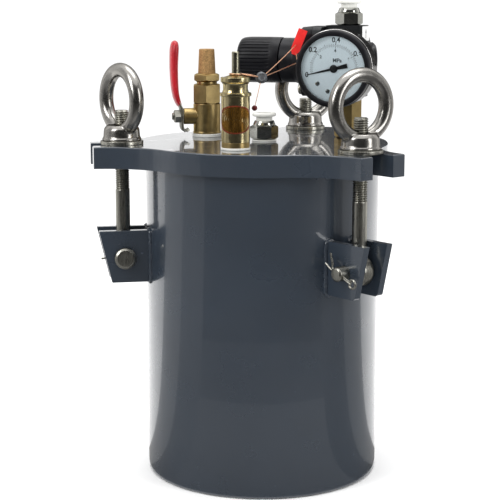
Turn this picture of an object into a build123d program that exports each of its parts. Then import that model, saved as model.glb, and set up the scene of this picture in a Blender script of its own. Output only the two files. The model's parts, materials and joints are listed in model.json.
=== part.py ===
"""A 2 litre resin pressure pot: a welded steel tank, a flat lid held by three swing bolts with eye
nuts, and on the lid a ball valve with a silencer, a relief valve, an outlet fitting and a regulator
with its gauge. Millimetres, +Z up, origin at the middle of the tank's underside, -Y is the front."""

from build123d import *
from math import cos, radians, sin, sqrt
import os

os.makedirs("parts", exist_ok=True)

# Tank and lid
TANK_R = 66.5            # 133 mm pipe
TANK_BORE_R = 62.5
TANK_H = 178.0
FLOOR_T = 8.0
LID_BOTTOM = 178.3
LID_T = 12.0
LID_TOP = LID_BOTTOM + LID_T
LID_R = 71.5
GASKET_T = 2.3
GASKET_IN, GASKET_OUT = 62.2, 67.2
GROOVE_PLAY = 0.2

# The three clamping stations, by their angle about the tank's axis
STATIONS = {"back": 70.5, "left": 190.5, "right": 310.5}
EAR_TIP = 97.0
EAR_HALF = 16.0
EAR_FILLET = 40.0
BOLT_A = 80.0            # the bolts' distance from the tank's axis
SLOT_W = 15.0

# M8 swing bolts with their pins, lugs, washers and eye nuts
BOLT_R = 4.0
BOLT_END = 209.2
PIN_Z = 127.0
PIN_R = 3.95
BOLT_EYE_R, BOLT_EYE_HALF = 8.25, 4.25
LUG_T, LUG_INNER = 4.0, 6.5
LUG_OUTER = LUG_INNER + LUG_T
LUG_LOW, LUG_HIGH = 113.0, 142.5
PIN_HEAD_R, PIN_HEAD_H = 6.0, 3.4
PIN_TAIL = 7.0
SPLIT_HOLE_R, SPLIT_R = 1.1, 1.0
SPLIT_AT = LUG_OUTER + 4.4
# which way each split pin's legs point, from outwards towards up, and its eye's distance from the pin
SPLIT_PINS = {"back": (90.0, 9.0), "left": (-45.0, 15.6), "right": (159.0, 11.0)}
WASHER_R, WASHER_T = 12.0, 2.0
NUT_Z = LID_TOP + WASHER_T
NUT_BORE_R = BOLT_R + 0.06
NUT_R, NUT_H = 11.0, 8.4
RING_RISE, RING_R, RING_BAR = 22.7, 16.5, 4.0
RING_DIRECTIONS = {"back": 25.0, "left": -54.0, "right": 33.0}

# Places of the fittings on the lid
BALL_XY = (-32.5, 28.8)
RELIEF_XY = (-14.4, -43.7)
OUTLET_XY = (1.1, 3.4)
RISER_XY = (50.0, 24.0)
QUARTER_R = 6.45         # G1/4 thread
EIGHTH_R = 4.85          # G1/8 thread
PORT_PLAY = 0.05
TUBE_R = 4.05            # 8 mm tube

# Ball valve
STEM_Z = LID_TOP + 12.0
STEM_ANGLE = 192.0
BALL_R = 5.5

# Regulator: its frame stands on the port axis, turned so that the knob points left and the gauge
# looks forwards and a little left
TURN = 17.0
PORT_Z = 234.6
PORT_HALF = 20.5
GAUGE_DROP = 2.8
GAUGE_R = 21.5
NEEDLE_REST = 193.0      # degrees from the gauge's own right-hand side

UP = (0, 0, 1)
turn = radians(TURN)
knob_way = (-cos(turn), sin(turn), 0)
port = Plane(origin=(*RISER_XY, PORT_Z), x_dir=(cos(turn), -sin(turn), 0), z_dir=UP)
knob_axis = Plane(origin=port.origin, x_dir=UP, z_dir=knob_way)
gauge_axis = Plane(
    origin=(*RISER_XY, PORT_Z - GAUGE_DROP), x_dir=port.x_dir, z_dir=(-sin(turn), -cos(turn), 0)
)


def save(builder, name):
    builder.part.label = name
    export_step(builder.part, f"parts/{name}.step")


def upright(xy):
    """The frame of a fitting that stands on the lid; heights in it are absolute."""
    return Plane(origin=(*xy, 0), x_dir=(1, 0, 0), z_dir=UP)


def station(angle):
    """A clamping station's frame: x outwards, y up, z along the pin towards its split pin."""
    a = radians(angle)
    return Plane(origin=(0, 0, 0), x_dir=(cos(a), sin(a), 0), z_dir=(sin(a), -cos(a), 0))


def bolt_frame(angle):
    a = radians(angle)
    return Plane(origin=(BOLT_A * cos(a), BOLT_A * sin(a), 0), x_dir=(cos(a), sin(a), 0), z_dir=UP)


def turn_profile(axis, outline, mode=Mode.ADD):
    """Revolves an outline of (radius, height) points about an axis frame's z."""
    with BuildSketch(Plane(origin=axis.origin, x_dir=axis.x_dir, z_dir=-axis.y_dir)) as profile:
        with BuildLine():
            Polyline(*outline, close=True)
        make_face()
    revolve(profile.sketch, axis=Axis(axis.origin, axis.z_dir), mode=mode)


def drill(axis, radius, low, high, mode=Mode.SUBTRACT):
    with BuildSketch(axis.offset(low)) as circle:
        Circle(radius)
    extrude(circle.sketch, amount=high - low, mode=mode)


def rod(start, end, radius):
    way = Vector(*end) - Vector(*start)
    drill(Plane(origin=start, z_dir=way), radius, 0, way.length, Mode.ADD)


def hexagon(axis, across_flats, low, high, angle=0.0, mode=Mode.ADD):
    with BuildSketch(axis.offset(low)) as flats:
        RegularPolygon(across_flats / 2, 6, major_radius=False, rotation=angle)
    extrude(flats.sketch, amount=high - low, mode=mode)


def coil(axis, radius, wire, low, high, turns):
    """A round-wire compression spring between two heights on an axis frame."""
    pitch = (high - low - 2 * wire) / turns
    centre = axis.origin + axis.z_dir * (low + wire)
    rise = pitch * turns
    path = Helix(pitch, rise, radius, center=centre, direction=axis.z_dir, mode=Mode.PRIVATE)
    with BuildSketch(Plane(origin=path @ 0, z_dir=path % 0)) as section:
        Circle(wire)
    sweep(section.sketch, path=path, is_frenet=True)


# ---- Tank ----
tank_axis = upright((0, 0))

with BuildPart() as tank_shell:
    with BuildSketch(Plane.XY):
        Circle(TANK_R)
        Circle(TANK_BORE_R, mode=Mode.SUBTRACT)
    extrude(amount=TANK_H)
    chamfer(tank_shell.edges().group_by(Axis.Z)[0].sort_by(SortBy.RADIUS)[-1:], 1.0)
save(tank_shell, "tank_shell")

with BuildPart() as base_plate:
    with BuildSketch(Plane.XY):
        Circle(TANK_BORE_R)
    extrude(amount=FLOOR_T)
save(base_plate, "base_plate")

# ---- Lid: a disc with three forked ears, whose sides run into the disc in large hollows ----
HOLLOW_Y = EAR_HALF + EAR_FILLET
HOLLOW_X = sqrt((LID_R + EAR_FILLET) ** 2 - HOLLOW_Y**2)

with BuildPart() as lid_plate:
    with BuildSketch(Plane.XY.offset(LID_BOTTOM)) as lid_outline:
        for angle in STATIONS.values():
            with BuildLine(Plane.XY.rotated((0, 0, angle))):
                Polyline(
                    (0, 0), (HOLLOW_X, HOLLOW_Y), (HOLLOW_X, EAR_HALF), (EAR_TIP, EAR_HALF),
                    (EAR_TIP, -EAR_HALF), (HOLLOW_X, -EAR_HALF), (HOLLOW_X, -HOLLOW_Y), close=True,
                )
            make_face()
        with PolarLocations(0, 3, start_angle=STATIONS["back"]):
            with Locations((HOLLOW_X, HOLLOW_Y), (HOLLOW_X, -HOLLOW_Y)):
                Circle(EAR_FILLET, mode=Mode.SUBTRACT)
            with Locations((BOLT_A, 0)):
                Circle(SLOT_W / 2, mode=Mode.SUBTRACT)
            with Locations(((BOLT_A + EAR_TIP + 5) / 2, 0)):
                Rectangle(EAR_TIP + 5 - BOLT_A, SLOT_W, mode=Mode.SUBTRACT)
        Circle(LID_R)
    extrude(amount=LID_T)
    chamfer(lid_plate.edges().group_by(Axis.Z)[-1], 0.5)
    with Locations((*BALL_XY, LID_TOP), (*RELIEF_XY, LID_TOP)):
        Hole(QUARTER_R + PORT_PLAY)
    with Locations((*OUTLET_XY, LID_TOP), (*RISER_XY, LID_TOP)):
        Hole(EIGHTH_R + PORT_PLAY)
    with BuildSketch(Plane.XY.offset(LID_BOTTOM)):
        Circle(GASKET_OUT + GROOVE_PLAY)
        Circle(GASKET_IN - GROOVE_PLAY, mode=Mode.SUBTRACT)
    extrude(amount=TANK_H + GASKET_T - LID_BOTTOM, mode=Mode.SUBTRACT)
save(lid_plate, "lid_plate")

with BuildPart() as lid_gasket:
    with BuildSketch(Plane.XY.offset(TANK_H)):
        Circle(GASKET_OUT)
        Circle(GASKET_IN, mode=Mode.SUBTRACT)
    extrude(amount=GASKET_T)
save(lid_gasket, "lid_gasket")


# ---- Clamping stations ----
def make_lug(angle):
    """Two plates welded to the tank, one each side of the bolt's eye."""
    plane = station(angle)
    with BuildPart() as lug:
        for inner_face in (-LUG_OUTER, LUG_INNER):
            with BuildSketch(plane.offset(inner_face)) as plate:
                with BuildLine():
                    Polyline(
                        (TANK_R - 4, LUG_LOW), (87.5, LUG_LOW), (94.5, LUG_HIGH), (TANK_R - 4, LUG_HIGH),
                        close=True,
                    )
                make_face()
                fillet(plate.vertices().sort_by(Axis(plane.origin, plane.x_dir))[-2:], 2.5)
            extrude(plate.sketch, amount=LUG_T)
        drill(shifted(plane), PIN_R + 0.05, -LUG_OUTER, LUG_OUTER)
        drill(tank_axis, TANK_R, LUG_LOW - 1, LUG_HIGH + 1)
    return lug


def shifted(plane):
    """The pin's own axis frame at a station."""
    return Plane(origin=plane.from_local_coords((BOLT_A, PIN_Z, 0)), x_dir=plane.x_dir, z_dir=plane.z_dir)


def split_frame(name):
    """A split pin's frame where it crosses the clevis pin: z towards its legs, y along the clevis pin."""
    pin = shifted(station(STATIONS[name]))
    tilt = radians(SPLIT_PINS[name][0])
    legs = pin.x_dir * cos(tilt) + pin.y_dir * sin(tilt)
    return Plane(
        origin=pin.from_local_coords((0, 0, SPLIT_AT)), x_dir=pin.z_dir.cross(legs), z_dir=legs
    )


for name, angle in STATIONS.items():
    save(make_lug(angle), f"lug_{name}")

with BuildPart() as clevis_pins:
    for name, angle in STATIONS.items():
        pin = shifted(station(angle))
        head = -LUG_OUTER - PIN_HEAD_H
        tail = LUG_OUTER + PIN_TAIL
        turn_profile(pin, [
            (0, head), (PIN_HEAD_R - 0.8, head), (PIN_HEAD_R, head + 0.8), (PIN_HEAD_R, -LUG_OUTER),
            (PIN_R, -LUG_OUTER), (PIN_R, tail - 0.8), (PIN_R - 0.8, tail), (0, tail),
        ])
        drill(split_frame(name), SPLIT_HOLE_R, -PIN_R - 1, PIN_R + 1)
save(clevis_pins, "clevis_pins")

with BuildPart() as split_pins:
    for name, (_, reach) in SPLIT_PINS.items():
        frame = split_frame(name)
        root, bend, short_leg, long_leg, eye = (
            tuple(frame.from_local_coords((x, 0, z)))
            for x, z in ((0, 2.0 - reach), (0, 4.8), (-1.2, 9.6), (5.0, 11.4), (0, -reach))
        )
        rod(root, bend, SPLIT_R)
        rod(bend, short_leg, SPLIT_R * 0.7)
        rod(bend, long_leg, SPLIT_R * 0.7)
        with BuildSketch(Plane(origin=eye, x_dir=frame.x_dir, z_dir=frame.z_dir)) as loop:
            with Locations((2.3, 0)):
                Circle(SPLIT_R * 0.9)
        revolve(loop.sketch, axis=Axis(eye, frame.y_dir))
save(split_pins, "split_pins")


def make_swing_bolt(angle):
    pin, bolt = shifted(station(angle)), bolt_frame(angle)
    with BuildPart() as swing_bolt:
        drill(pin, BOLT_EYE_R, -BOLT_EYE_HALF, BOLT_EYE_HALF, Mode.ADD)
        turn_profile(bolt, [
            (0, PIN_Z), (BOLT_R, PIN_Z), (BOLT_R, BOLT_END - 0.8), (BOLT_R - 0.8, BOLT_END), (0, BOLT_END),
        ])
        drill(pin, PIN_R + 0.06, -BOLT_EYE_HALF - 1, BOLT_EYE_HALF + 1)
    return swing_bolt


def make_washer(angle):
    with BuildPart() as washer:
        with BuildSketch(bolt_frame(angle).offset(LID_TOP)) as ring:
            Circle(WASHER_R)
            Circle(BOLT_R + 0.1, mode=Mode.SUBTRACT)
        extrude(ring.sketch, amount=WASHER_T)
    return washer


def make_eye_nut(angle, ring_angle):
    """A lifting eye nut: a round foot with a ring that stands on it, bored for the bolt."""
    bolt = bolt_frame(angle)
    way = radians(ring_angle)
    centre = bolt.origin + Vector(0, 0, NUT_Z + RING_RISE)
    across = Plane(origin=centre, x_dir=(cos(way), sin(way), 0), z_dir=UP)
    with BuildPart() as eye_nut:
        turn_profile(bolt, [
            (0, NUT_Z), (NUT_R, NUT_Z), (NUT_R, NUT_Z + 1.6), (NUT_R - 0.7, NUT_Z + 2.2),
            (NUT_R - 0.7, NUT_Z + 5.6), (NUT_R - 2.0, NUT_Z + NUT_H), (6.4, NUT_Z + NUT_H),
            (5.4, NUT_Z + 9.6),
            (0, NUT_Z + 9.6),
        ])
        with BuildSketch(across) as bar:
            with Locations((RING_R, 0)):
                Circle(RING_BAR)
        revolve(bar.sketch, axis=Axis(centre, across.y_dir))
        drill(bolt, NUT_BORE_R, NUT_Z - 1, NUT_Z + RING_RISE)
    return eye_nut


for name, angle in STATIONS.items():
    save(make_swing_bolt(angle), f"swing_bolt_{name}")
    save(make_washer(angle), f"washer_{name}")
    save(make_eye_nut(angle, RING_DIRECTIONS[name]), f"eye_nut_{name}")

# ---- Washers that seal the three fittings on the lid ----
with BuildPart() as sealing_washers:
    for place, bore, outside, thickness in (
        (BALL_XY, QUARTER_R, 8.6, 1.9), (RELIEF_XY, QUARTER_R, 8.0, 1.3), (OUTLET_XY, EIGHTH_R, 7.0, 0.8),
    ):
        with BuildSketch(upright(place).offset(LID_TOP)) as ring:
            Circle(outside)
            Circle(bore + PORT_PLAY, mode=Mode.SUBTRACT)
        extrude(ring.sketch, amount=thickness)
save(sealing_washers, "sealing_washers")

# ---- Ball valve with its silencer ----
ball_axis = upright(BALL_XY)
stem_way = (cos(radians(STEM_ANGLE)), sin(radians(STEM_ANGLE)), 0)
stem_axis = Plane(origin=(*BALL_XY, STEM_Z), x_dir=UP, z_dir=stem_way)
BODY_LOW, BODY_TOP = LID_TOP + 1.9, LID_TOP + 19.3
BALL_BORE = 3.0
CHAMBER_R = 5.9
SEAT_LOW, SEAT_TOP = STEM_Z - 5.4, STEM_Z + 5.4
SPIGOT_LOW = SEAT_TOP

with BuildPart() as ball_valve_body:
    turn_profile(ball_axis, [
        (0, LID_BOTTOM), (QUARTER_R, LID_BOTTOM), (QUARTER_R, BODY_LOW), (8.2, BODY_LOW),
        (8.2, BODY_LOW + 1.0),
        (7.95, BODY_LOW + 1.4), (7.95, BODY_TOP), (0, BODY_TOP),
    ])
    drill(stem_axis, 4.7, 0, 14.1, Mode.ADD)
    drill(ball_axis, BALL_BORE + 0.2, LID_BOTTOM - 1, SEAT_LOW)
    drill(ball_axis, CHAMBER_R, SEAT_LOW, BODY_TOP + 1)
    drill(stem_axis, 2.55, 0, 15)
save(ball_valve_body, "ball_valve_body")

with BuildPart() as ball_seats:
    for low, high in ((SEAT_LOW, STEM_Z - 2.9), (STEM_Z + 2.9, SEAT_TOP)):
        drill(ball_axis, CHAMBER_R - 0.05, low, high, Mode.ADD)
    drill(ball_axis, BALL_BORE + 0.2, SEAT_LOW - 1, SEAT_TOP + 1)
    with Locations((*BALL_XY, STEM_Z)):
        Sphere(BALL_R + 0.03, mode=Mode.SUBTRACT)
save(ball_seats, "ball_seats")

with BuildPart() as valve_ball:
    with Locations((*BALL_XY, STEM_Z)):
        Sphere(BALL_R)
    drill(ball_axis, BALL_BORE, STEM_Z - 7, STEM_Z + 7)
    with BuildSketch(stem_axis.offset(3.9)) as slot:
        Rectangle(12, 2.2)
    extrude(slot.sketch, amount=3, mode=Mode.SUBTRACT)
save(valve_ball, "valve_ball")

STEM_SHOULDER, STEM_TIP = 14.3, 20.6
with BuildPart() as valve_stem:
    drill(stem_axis, 2.5, 5.7, STEM_SHOULDER, Mode.ADD)
    drill(stem_axis, 2.0, STEM_SHOULDER, STEM_TIP, Mode.ADD)
    with BuildSketch(stem_axis.offset(4.1)) as tang:
        Rectangle(3.8, 2.0)
    extrude(tang.sketch, amount=2.0)
save(valve_stem, "valve_stem")

# the lever's side view: x outwards along the stem, y up
side_view = Plane(
    origin=(*BALL_XY, 0), x_dir=stem_way, z_dir=Vector(*stem_way).cross(Vector(*UP))
)
PLATE_T, PLATE_W = 1.6, 8.0
GRIP_T, GRIP_W = 5.6, 11.0
GRIP_LOW, GRIP_HIGH = 208.5, 246.5


def lever_face(outline, width):
    """Extrudes an outline in the lever's side view, half of its width to each side of the stem."""
    with BuildSketch(side_view.offset(-width / 2)) as face:
        with BuildLine():
            Polyline(*outline, close=True)
        make_face()
    extrude(face.sketch, amount=width)


def lever_strip(centre_line, thickness):
    """The outline of a strip that follows a centre line of (outwards, up) points."""
    half = thickness / 2
    near = [(x - half, z) for x, z in centre_line]
    far = [(x + half, z) for x, z in centre_line]
    return near + far[::-1]


STOP_HOOK = [(11.0, 194.0), (14.9, 194.0), (16.0, 197.0), (14.4, 197.0), (14.1, 195.5), (11.0, 195.5)]
LEVER_LINE = [(15.2, 196.8), (15.2, 206.6), (18.2, 212.6), (19.2, 222.0), (19.8, 244.0)]
with BuildPart() as lever_plate:
    lever_face(lever_strip(LEVER_LINE, PLATE_T), PLATE_W)
    lever_face(STOP_HOOK, 5.0)
    drill(stem_axis, 2.03, 13, 18)
save(lever_plate, "lever_plate")

GRIP_LINE = [(16.4, GRIP_LOW), (18.2, 212.6), (19.2, 222.0), (19.8, GRIP_HIGH)]
with BuildPart() as lever_grip:
    lever_face(lever_strip(GRIP_LINE, GRIP_T), GRIP_W)
    chamfer(lever_grip.edges().group_by(SortBy.LENGTH)[-1], 1.0)
    add(lever_plate.part, mode=Mode.SUBTRACT)
save(lever_grip, "lever_grip")

with BuildPart() as lever_nut:
    hexagon(stem_axis, 7.0, 16.0, 19.6)
    drill(stem_axis, 2.0, 15, 22)
save(lever_nut, "lever_nut")

UNION_TOP = LID_TOP + 32.0
with BuildPart() as ball_valve_union:
    drill(ball_axis, CHAMBER_R - 0.05, SPIGOT_LOW, BODY_TOP, Mode.ADD)
    hexagon(ball_axis, 15.2, BODY_TOP, LID_TOP + 30.7)
    drill(ball_axis, 5.9, LID_TOP + 30.7, UNION_TOP, Mode.ADD)
    drill(ball_axis, BALL_BORE + 0.2, SPIGOT_LOW - 1, UNION_TOP)
    drill(ball_axis, EIGHTH_R, UNION_TOP - 7.0, UNION_TOP + 1)
save(ball_valve_union, "ball_valve_union")

SILENCER_HEX_TOP = LID_TOP + 36.8
SILENCER_TOP = LID_TOP + 51.0
with BuildPart() as silencer_fitting:
    drill(ball_axis, EIGHTH_R - 0.05, UNION_TOP - 6.5, UNION_TOP, Mode.ADD)
    hexagon(ball_axis, 14.4, UNION_TOP, SILENCER_HEX_TOP)
    drill(ball_axis, 3.4, UNION_TOP - 7, SILENCER_HEX_TOP + 1)
save(silencer_fitting, "silencer_fitting")

with BuildPart() as silencer_element:
    turn_profile(ball_axis, [
        (3.4, SILENCER_HEX_TOP), (5.15, SILENCER_HEX_TOP), (4.5, SILENCER_TOP - 0.6), (4.0, SILENCER_TOP),
        (0, SILENCER_TOP), (0, SILENCER_TOP - 1.8), (2.6, SILENCER_TOP - 1.8),
    ])
save(silencer_element, "silencer_element")

# ---- Relief valve ----
relief_axis = upright(RELIEF_XY)
RELIEF_LOW = LID_TOP + 1.3
RELIEF_BODY_LOW = LID_TOP + 4.1
RELIEF_SEAT_Z = LID_TOP + 8.0
RELIEF_BODY_TOP = LID_TOP + 30.7
RELIEF_CAP_TOP = LID_TOP + 39.0
RELIEF_ROD_TOP = LID_TOP + 52.6
RELIEF_BORE_R = 6.2
SPRING_SEAT = LID_TOP + 33.5

with BuildPart() as relief_valve_seat:
    turn_profile(relief_axis, [
        (2.5, LID_BOTTOM), (QUARTER_R, LID_BOTTOM), (QUARTER_R, RELIEF_LOW), (7.7, RELIEF_LOW),
        (7.7, RELIEF_BODY_LOW), (RELIEF_BORE_R - 0.05, RELIEF_BODY_LOW),
        (RELIEF_BORE_R - 0.05, RELIEF_SEAT_Z - 0.8),
        (3.4, RELIEF_SEAT_Z - 0.8), (3.4, RELIEF_SEAT_Z), (2.5, RELIEF_SEAT_Z),
    ])
save(relief_valve_seat, "relief_valve_seat")

with BuildPart() as relief_valve_body:
    turn_profile(relief_axis, [
        (RELIEF_BORE_R, RELIEF_BODY_LOW), (7.75, RELIEF_BODY_LOW), (7.75, LID_TOP + 29.0),
        (8.55, LID_TOP + 29.0),
        (8.55, RELIEF_BODY_TOP), (RELIEF_BORE_R, RELIEF_BODY_TOP),
    ])
save(relief_valve_body, "relief_valve_body")

with BuildPart() as relief_valve_cap:
    turn_profile(relief_axis, [
        (2.07, SPRING_SEAT), (4.8, SPRING_SEAT), (4.8, LID_TOP + 26.0),
        (RELIEF_BORE_R - 0.05, LID_TOP + 26.0),
        (RELIEF_BORE_R - 0.05, RELIEF_BODY_TOP), (7.3, RELIEF_BODY_TOP), (6.7, LID_TOP + 32.4),
        (6.7, LID_TOP + 35.0), (7.3, LID_TOP + 36.1), (8.0, LID_TOP + 36.6), (8.0, RELIEF_CAP_TOP),
        (6.6, RELIEF_CAP_TOP), (3.0, LID_TOP + 40.2), (3.0, LID_TOP + 41.2), (2.07, LID_TOP + 41.2),
    ])
save(relief_valve_cap, "relief_valve_cap")

POPPET_TOP = RELIEF_SEAT_Z + 2.6
with BuildPart() as relief_spindle:
    turn_profile(relief_axis, [
        (0, RELIEF_SEAT_Z), (5.2, RELIEF_SEAT_Z), (5.2, POPPET_TOP), (2.0, POPPET_TOP),
        (2.0, RELIEF_ROD_TOP - 0.4),
        (1.6, RELIEF_ROD_TOP), (0, RELIEF_ROD_TOP),
    ])
save(relief_spindle, "relief_spindle")

with BuildPart() as relief_spring:
    coil(relief_axis, 3.6, 0.45, POPPET_TOP, SPRING_SEAT, 9)
save(relief_spring, "relief_spring")


# ---- Push-in tube fittings ----
def make_fitting(axis, low, hex_low, hex_high, angle):
    """A hexagon body bored for the tube, with a recess for the release ring's sleeve."""
    dome = hex_high + 2.7
    with BuildPart() as fitting:
        drill(axis, EIGHTH_R, low, hex_low, Mode.ADD)
        hexagon(axis, 14.0, hex_low, dome, angle)
        turn_profile(axis, [
            (8.0, hex_high), (6.6, hex_high + 1.2), (5.4, dome), (5.4, dome + 1),
            (9.0, dome + 1), (9.0, hex_high),
        ], Mode.SUBTRACT)
        drill(axis, 2.8, low - 1, dome)
        drill(axis, TUBE_R, hex_low + 1.6, dome)
        drill(axis, 5.6, dome - 7.0, dome - 4.8)
        drill(axis, 4.75, dome - 4.8, dome + 1)
    return fitting


def make_release_ring(axis, dome):
    """The plastic ring with its sleeve; its stroke is the gap under its rim less 0.8 mm."""
    with BuildPart() as ring:
        turn_profile(axis, [
            (TUBE_R, dome - 2.6), (4.65, dome - 2.6), (4.65, dome + 2.4), (6.4, dome + 2.4),
            (6.8, dome + 2.9),
            (6.8, dome + 4.0), (6.3, dome + 4.5), (TUBE_R, dome + 4.5),
        ])
    return ring


outlet_axis, inlet_axis = upright(OUTLET_XY), upright(RISER_XY)
OUTLET_HEX, OUTLET_HEX_TOP = LID_TOP + 0.8, LID_TOP + 8.9
INLET_HEX, INLET_HEX_TOP = PORT_Z + PORT_HALF, PORT_Z + PORT_HALF + 7.3
save(make_fitting(outlet_axis, LID_BOTTOM, OUTLET_HEX, OUTLET_HEX_TOP, 30), "outlet_fitting")
save(make_release_ring(outlet_axis, OUTLET_HEX_TOP + 2.7), "outlet_release_ring")
save(make_fitting(inlet_axis, INLET_HEX - 7.0, INLET_HEX, INLET_HEX_TOP, 36), "inlet_fitting")
save(make_release_ring(inlet_axis, INLET_HEX_TOP + 2.7), "inlet_release_ring")

with BuildPart() as tube_seals:
    for axis, dome in ((outlet_axis, OUTLET_HEX_TOP + 2.7), (inlet_axis, INLET_HEX_TOP + 2.7)):
        turn_profile(axis, [
            (TUBE_R, dome - 6.9), (5.55, dome - 6.9), (5.55, dome - 4.9), (TUBE_R, dome - 4.9),
        ])
save(tube_seals, "tube_seals")

# ---- Riser nipple between the lid and the regulator ----
PORT_LOW = PORT_Z - PORT_HALF
with BuildPart() as riser_nipple:
    drill(inlet_axis, EIGHTH_R, LID_BOTTOM, LID_TOP, Mode.ADD)
    hexagon(inlet_axis, 14.0, LID_TOP, PORT_LOW, 13)
    drill(inlet_axis, QUARTER_R, PORT_LOW, PORT_LOW + 8, Mode.ADD)
    drill(inlet_axis, 3.5, LID_BOTTOM - 1, PORT_LOW + 9)
save(riser_nipple, "riser_nipple")

# ---- Regulator: distances along the knob's axis are positive towards the knob ----
HOUSING = 39.4           # the square of the diaphragm housing and the bonnet's flange
PORT_END = -10.0         # the face under the valve cap
HOUSING_START, JOINT, FLANGE_END = 12.0, 17.0, 23.5
DRUM_R = 16.5
GAUGE_BOSS = 18.0


def housing_block(start, end):
    with BuildSketch(knob_axis.offset(start)) as square:
        RectangleRounded(HOUSING, HOUSING, 5)
    extrude(square.sketch, amount=end - start)


with BuildPart() as regulator_body:
    with BuildSketch(port.offset(-PORT_HALF)) as column:
        with Locations(((-PORT_END - HOUSING_START) / 2, 0)):
            RectangleRounded(HOUSING_START - PORT_END, 19.0, 3)
    extrude(column.sketch, amount=2 * PORT_HALF)
    drill(knob_axis, DRUM_R, PORT_END, HOUSING_START, Mode.ADD)
    housing_block(HOUSING_START, JOINT)
    drill(gauge_axis, 8.5, 0, GAUGE_BOSS, Mode.ADD)
    drill(gauge_axis, EIGHTH_R, GAUGE_BOSS - 7, GAUGE_BOSS + 1)
    drill(inlet_axis, QUARTER_R, PORT_LOW - 1, PORT_LOW + 9)
    drill(inlet_axis, EIGHTH_R, INLET_HEX - 8, INLET_HEX + 1)
    drill(inlet_axis, 2.2, PORT_LOW + 8, INLET_HEX - 7)
    drill(knob_axis, 8.0, PORT_END - 1, PORT_END + 6)
    drill(knob_axis, 4.5, PORT_END + 5, 8.0)
    drill(knob_axis, 15.0, 13.5, JOINT + 1)
    drill(knob_axis, 1.6, 7.0, 14.0)
save(regulator_body, "regulator_body")

with BuildPart() as regulator_valve:
    turn_profile(knob_axis, [
        (0, -3.0), (3.2, -3.0), (3.2, 7.9), (1.4, 7.9), (1.4, 13.4), (0, 13.4),
    ])
save(regulator_valve, "regulator_valve")

CAP_END = -15.0
with BuildPart() as regulator_valve_cap:
    turn_profile(knob_axis, [
        (0, -4.3), (7.9, -4.3), (7.9, PORT_END), (10.9, PORT_END), (10.9, CAP_END + 1.2), (9.9, CAP_END),
        (8.2, CAP_END), (7.4, CAP_END + 0.9), (0, CAP_END + 0.9),
    ])
save(regulator_valve_cap, "regulator_valve_cap")

with BuildPart() as regulator_diaphragm:
    turn_profile(knob_axis, [(0, 13.6), (14.9, 13.6), (14.9, JOINT), (13.8, JOINT), (9.0, 15.2), (0, 15.2)])
save(regulator_diaphragm, "regulator_diaphragm")

BONNET_END = 46.0
SPRING_ROOM = 10.0
SCREW_SPREAD = 15.4


def screw_axis(x, y):
    """A bonnet screw's axis frame, in the corner that the signs of x and y name."""
    corner = knob_axis.from_local_coords((SCREW_SPREAD * x, SCREW_SPREAD * y, 0))
    return Plane(origin=corner, z_dir=knob_axis.z_dir)


with BuildPart() as regulator_bonnet:
    housing_block(JOINT, FLANGE_END)
    turn_profile(knob_axis, [
        (0, JOINT), (17.6, JOINT), (17.6, FLANGE_END + 0.5), (14.4, 27.5), (13.0, 31.0), (13.0, 38.9),
        (11.2, 39.3), (11.2, BONNET_END), (0, BONNET_END),
    ])
    drill(knob_axis, SPRING_ROOM, JOINT - 1, BONNET_END - 2.5)
    drill(knob_axis, 3.05, JOINT, BONNET_END + 1)
    for x in (-1, 1):
        for y in (-1, 1):
            corner = screw_axis(x, y)
            drill(corner, 1.9, JOINT - 1, FLANGE_END + 1)
save(regulator_bonnet, "regulator_bonnet")

with BuildPart() as bonnet_screws:
    for x in (-1, 1):
        for y in (-1, 1):
            corner = screw_axis(x, y)
            turn_profile(corner, [
                (0, JOINT), (1.85, JOINT), (1.85, FLANGE_END), (3.3, FLANGE_END), (3.3, FLANGE_END + 1.4),
                (2.6, FLANGE_END + 2.0), (0, FLANGE_END + 2.0),
            ])
save(bonnet_screws, "bonnet_screws")

SCREW_HEAD = 56.0
PLATE_Z = 36.0
with BuildPart() as adjusting_screw:
    turn_profile(knob_axis, [
        (0, 24.0), (2.6, 24.0), (2.6, PLATE_Z + 5.0), (3.0, PLATE_Z + 5.0), (3.0, BONNET_END + 1.0),
        (5.0, BONNET_END + 1.0), (5.0, BONNET_END + 2.4), (4.0, BONNET_END + 2.4),
        (4.0, SCREW_HEAD), (0, SCREW_HEAD),
    ])
save(adjusting_screw, "adjusting_screw")

with BuildPart() as spring_plate:
    turn_profile(knob_axis, [
        (2.66, PLATE_Z), (9.4, PLATE_Z), (9.4, PLATE_Z + 2.0), (5.0, PLATE_Z + 2.0), (5.0, PLATE_Z + 4.0),
        (2.66, PLATE_Z + 4.0),
    ])
save(spring_plate, "spring_plate")

with BuildPart() as adjusting_spring:
    coil(knob_axis, 7.2, 1.0, 15.2, PLATE_Z, 5)
save(adjusting_spring, "adjusting_spring")

KNOB_START, KNOB_END = 39.4, 65.0
with BuildPart() as regulator_knob:
    turn_profile(knob_axis, [
        (11.3, KNOB_START), (13.3, KNOB_START), (13.4, KNOB_START + 4), (13.4, 59.5), (12.9, 62.5),
        (11.4, KNOB_END), (0, KNOB_END), (0, 60.0), (4.05, 60.0), (4.05, 49.5), (11.3, 49.5),
    ])
save(regulator_knob, "regulator_knob")

# ---- Gauge: distances are from the port axis towards the viewer ----
CASE_BACK, CASE_FRONT, BEZEL_FRONT = 21.0, 33.6, 38.2
DIAL_R = 19.6
with BuildPart() as gauge_socket:
    drill(gauge_axis, EIGHTH_R - 0.05, GAUGE_BOSS - 6, GAUGE_BOSS, Mode.ADD)
    hexagon(gauge_axis, 12.0, GAUGE_BOSS, CASE_BACK, 30)
    drill(gauge_axis, 4.0, CASE_BACK, CASE_BACK + 4.0, Mode.ADD)
    drill(gauge_axis, 1.5, GAUGE_BOSS - 7, CASE_BACK + 2.0)
save(gauge_socket, "gauge_socket")

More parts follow.
